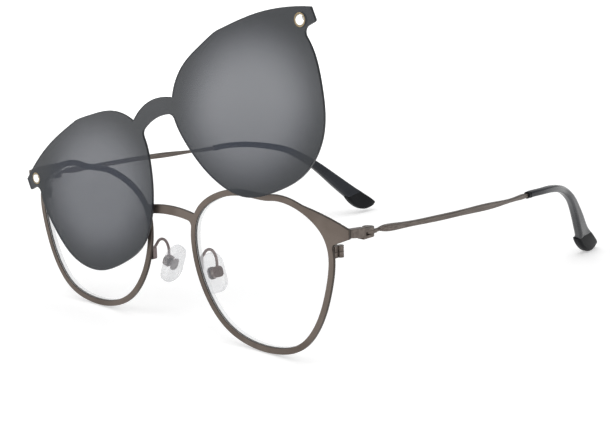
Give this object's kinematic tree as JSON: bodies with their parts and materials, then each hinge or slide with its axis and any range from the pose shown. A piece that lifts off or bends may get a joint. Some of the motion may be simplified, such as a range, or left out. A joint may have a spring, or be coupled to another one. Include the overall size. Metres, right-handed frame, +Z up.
{
  "type": "eyeglasses with magnetic clip-on",
  "caption": "Thin metal eyeglasses with folding temples and rocking nose pads, and a one-piece tinted clip-on that holds to the front by magnets and swings off it.",
  "frame": {"origin": "on the table under the middle of the glasses, halfway between the clip's foremost face and the back of the temple feet", "axes": "+X to the wearer's left across the face, +Y back along the temples, +Z up from the table on which the rims and the left temple's foot stand"},
  "size_m": [0.1384, 0.154, 0.0937],
  "materials": {
    "frame": "satin gunmetal brown",
    "lens": "clear polished",
    "clip_lens": "neutral grey tint",
    "magnet": "polished nickel",
    "eyelet": "gilt",
    "screw": "satin",
    "pad_metal": "satin brown",
    "pad": "clear soft silicone",
    "collar": "gloss black",
    "sleeve": "gloss black",
    "foot": "soft black"
  },
  "bodies": {
    "front": {"front_frame": "frame", "lens_left": "lens", "lens_right": "lens", "frame_magnet_left": "magnet", "frame_magnet_right": "magnet", "end_piece_left": "frame", "end_piece_right": "frame", "hinge_screw_left": "screw", "hinge_screw_right": "screw", "rim_lock_upper_left": "frame", "rim_lock_upper_right": "frame", "rim_lock_lower_left": "frame", "rim_lock_lower_right": "frame", "rim_lock_screw_left": "screw", "rim_lock_screw_right": "screw", "pad_arm_left": "pad_metal", "pad_arm_right": "pad_metal", "pad_box_left": "pad_metal", "pad_box_right": "pad_metal", "pad_screw_left": "screw", "pad_screw_right": "screw"},
    "pad_left": {"pad_core_left": "pad_metal", "nose_pad_left": "pad"},
    "temple_left": {"temple_leaf_left": "frame", "temple_bar_left": "frame", "temple_collar_left": "collar", "temple_sleeve_left": "sleeve", "temple_foot_left": "foot"},
    "pad_right": {"pad_core_right": "pad_metal", "nose_pad_right": "pad"},
    "temple_right": {"temple_leaf_right": "frame", "temple_bar_right": "frame", "temple_collar_right": "collar", "temple_sleeve_right": "sleeve", "temple_foot_right": "foot"},
    "clip_hold": {"clip_magnet_right": "magnet", "clip_eyelet_right": "eyelet"},
    "clip": {"clip_lens": "clip_lens", "clip_magnet_left": "magnet", "clip_eyelet_left": "eyelet"}
  },
  "joints": [
    {"name": "temple_fold_left", "type": "hinge", "parent": "front", "child": "temple_left", "pos_m": [0.06535, -0.0657, 0.03645], "axis": [0, 0, 1], "range_deg": [0, 84]},
    {"name": "temple_fold_right", "type": "hinge", "parent": "front", "child": "temple_right", "pos_m": [-0.06535, -0.0657, 0.03645], "axis": [0, 0, 1], "range_deg": [-80, 0]},
    {"name": "pad_rock_left", "type": "hinge", "parent": "front", "child": "pad_left", "pos_m": [0.0104, -0.0676, 0.01675], "axis": [0.1045, 0.9945, 0], "range_deg": [-8, 8]},
    {"name": "pad_rock_right", "type": "hinge", "parent": "front", "child": "pad_right", "pos_m": [-0.0104, -0.0676, 0.01675], "axis": [-0.1045, 0.9945, 0], "range_deg": [-8, 8]},
    {"name": "clip_slide", "type": "slide", "parent": "front", "child": "clip_hold", "axis": [0.9414, -0.2517, 0.2245], "range_m": [-0.00258, 0.06]},
    {"name": "clip_swing", "type": "hinge", "parent": "clip_hold", "child": "clip", "pos_m": [-0.06077, -0.07615, 0.03728], "axis": [0, -1, 0], "range_deg": [-24.86, 0]}
  ]
}
